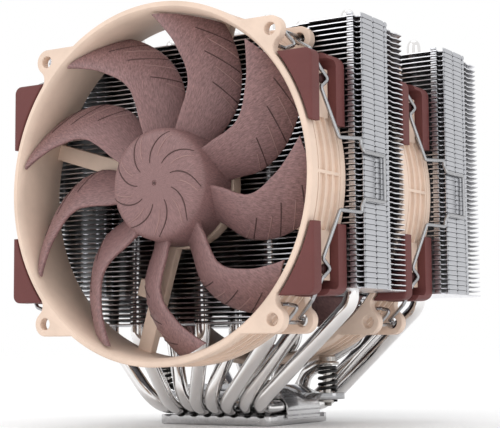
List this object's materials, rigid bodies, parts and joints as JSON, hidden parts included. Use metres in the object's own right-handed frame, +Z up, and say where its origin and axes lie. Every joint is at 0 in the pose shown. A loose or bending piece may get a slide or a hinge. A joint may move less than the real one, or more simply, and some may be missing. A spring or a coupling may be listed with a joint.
{
  "type": "cpu tower cooler",
  "caption": "Air cooler for a computer processor with twin finned towers on bent heat pipes, round-framed fans held by wire clips, and a sprung mounting bar over a flat base.",
  "frame": {"origin": "centre of the base plate's flat contact face", "axes": "+Z up from the contact face along the towers, +Y the way the air flows, from the front fan to the rear tower, +X along the mounting bar towards the side the towers are shifted to"},
  "size_m": [0.1536, 0.1465, 0.1635],
  "materials": {
    "frame_plastic": "satin moulded",
    "blade_plastic": "matte moulded with fine grain",
    "pad_rubber": "matte",
    "fin_aluminium": "bright rolled sheet",
    "nickel": "nickel plated",
    "steel": "polished",
    "clip_steel": "drawn wire",
    "black_steel": "black coated",
    "brass": "plain",
    "core_steel": "laminated",
    "magnet": "matte",
    "bobbin_plastic": "matte",
    "board": "satin"
  },
  "bodies": {
    "heatsink": {"front_fin_stack": "fin_aluminium", "rear_fin_stack": "fin_aluminium", "heat_pipe_1": "nickel", "heat_pipe_2": "nickel", "heat_pipe_3": "nickel", "heat_pipe_4": "nickel", "heat_pipe_5": "nickel", "heat_pipe_6": "nickel", "heat_pipe_7": "nickel", "heat_pipe_8": "nickel", "base_plate": "nickel", "base_block": "nickel", "mounting_bar": "steel", "bar_screw_left": "steel", "bar_screw_right": "steel", "spring_left": "black_steel", "spring_right": "black_steel"},
    "front_fan": {"front_fan_frame": "frame_plastic", "front_fan_bearing_sleeve": "brass", "front_fan_stator_core": "core_steel", "front_fan_coil_bobbin": "bobbin_plastic", "front_fan_circuit_board": "board", "front_fan_pad_top_right_front": "pad_rubber", "front_fan_pad_top_right_rear": "pad_rubber", "front_fan_pad_top_left_front": "pad_rubber", "front_fan_pad_top_left_rear": "pad_rubber", "front_fan_pad_bottom_right_front": "pad_rubber", "front_fan_pad_bottom_right_rear": "pad_rubber", "front_fan_pad_bottom_left_front": "pad_rubber", "front_fan_pad_bottom_left_rear": "pad_rubber"},
    "front_rotor": {"front_fan_impeller": "blade_plastic", "front_fan_rotor_yoke": "steel", "front_fan_magnet_ring": "magnet", "front_fan_shaft": "steel"},
    "front_clip_right": {"front_fan_clip_right": "clip_steel"},
    "front_clip_left": {"front_fan_clip_left": "clip_steel"},
    "middle_fan": {"middle_fan_frame": "frame_plastic", "middle_fan_bearing_sleeve": "brass", "middle_fan_stator_core": "core_steel", "middle_fan_coil_bobbin": "bobbin_plastic", "middle_fan_circuit_board": "board", "middle_fan_pad_top_right_front": "pad_rubber", "middle_fan_pad_top_right_rear": "pad_rubber", "middle_fan_pad_top_left_front": "pad_rubber", "middle_fan_pad_top_left_rear": "pad_rubber", "middle_fan_pad_bottom_right_front": "pad_rubber", "middle_fan_pad_bottom_right_rear": "pad_rubber", "middle_fan_pad_bottom_left_front": "pad_rubber", "middle_fan_pad_bottom_left_rear": "pad_rubber"},
    "middle_rotor": {"middle_fan_impeller": "blade_plastic", "middle_fan_rotor_yoke": "steel", "middle_fan_magnet_ring": "magnet", "middle_fan_shaft": "steel"},
    "middle_clip_right": {"middle_fan_clip_right": "clip_steel"},
    "middle_clip_left": {"middle_fan_clip_left": "clip_steel"},
    "screw_carrier_left": {"retaining_clip_left": "steel"},
    "screw_left": {"spring_screw_left": "steel"},
    "screw_carrier_right": {"retaining_clip_right": "steel"},
    "screw_right": {"spring_screw_right": "steel"}
  },
  "joints": [
    {"name": "front_fan_slide", "type": "slide", "parent": "heatsink", "child": "front_fan", "axis": [0, 0, 1], "range_m": [0, 0.03]},
    {"name": "front_rotor_spin", "type": "hinge", "parent": "front_fan", "child": "front_rotor", "pos_m": [0.014, -0.0735, 0.094], "axis": [0, 1, 0], "continuous": true},
    {"name": "front_clip_right_swing", "type": "hinge", "parent": "front_fan", "child": "front_clip_right", "pos_m": [0.0665, -0.074, 0.094], "axis": [0, 0, -1], "range_deg": [0, 4], "stiffness_Nm_per_rad": 0.5, "springref_deg": -5.73},
    {"name": "front_clip_left_swing", "type": "hinge", "parent": "front_fan", "child": "front_clip_left", "pos_m": [-0.0385, -0.074, 0.094], "axis": [0, 0, 1], "range_deg": [0, 4], "stiffness_Nm_per_rad": 0.5, "springref_deg": -5.73},
    {"name": "middle_fan_slide", "type": "slide", "parent": "heatsink", "child": "middle_fan", "axis": [0, 0, 1], "range_m": [0, 0.03]},
    {"name": "middle_rotor_spin", "type": "hinge", "parent": "middle_fan", "child": "middle_rotor", "pos_m": [0.014, 0, 0.094], "axis": [0, 1, 0], "continuous": true},
    {"name": "middle_clip_right_swing", "type": "hinge", "parent": "middle_fan", "child": "middle_clip_right", "pos_m": [0.0665, -0.0005, 0.094], "axis": [0, 0, -1], "range_deg": [0, 4], "stiffness_Nm_per_rad": 0.5, "springref_deg": -5.73},
    {"name": "middle_clip_left_swing", "type": "hinge", "parent": "middle_fan", "child": "middle_clip_left", "pos_m": [-0.0385, -0.0005, 0.094], "axis": [0, 0, 1], "range_deg": [0, 4], "stiffness_Nm_per_rad": 0.5, "springref_deg": -5.73},
    {"name": "spring_screw_left_press", "type": "slide", "parent": "heatsink", "child": "screw_carrier_left", "axis": [0, 0, -1], "range_m": [0, 0.003], "stiffness_N_per_m": 4000, "springref_m": -0.001, "deforming": ["spring_left"]},
    {"name": "spring_screw_left_turn", "type": "hinge", "parent": "screw_carrier_left", "child": "screw_left", "pos_m": [-0.041, 0, 0.0155], "axis": [0, 0, 1], "continuous": true},
    {"name": "spring_screw_right_press", "type": "slide", "parent": "heatsink", "child": "screw_carrier_right", "axis": [0, 0, -1], "range_m": [0, 0.003], "stiffness_N_per_m": 4000, "springref_m": -0.001, "deforming": ["spring_right"]},
    {"name": "spring_screw_right_turn", "type": "hinge", "parent": "screw_carrier_right", "child": "screw_right", "pos_m": [0.041, 0, 0.0155], "axis": [0, 0, 1], "continuous": true}
  ]
}
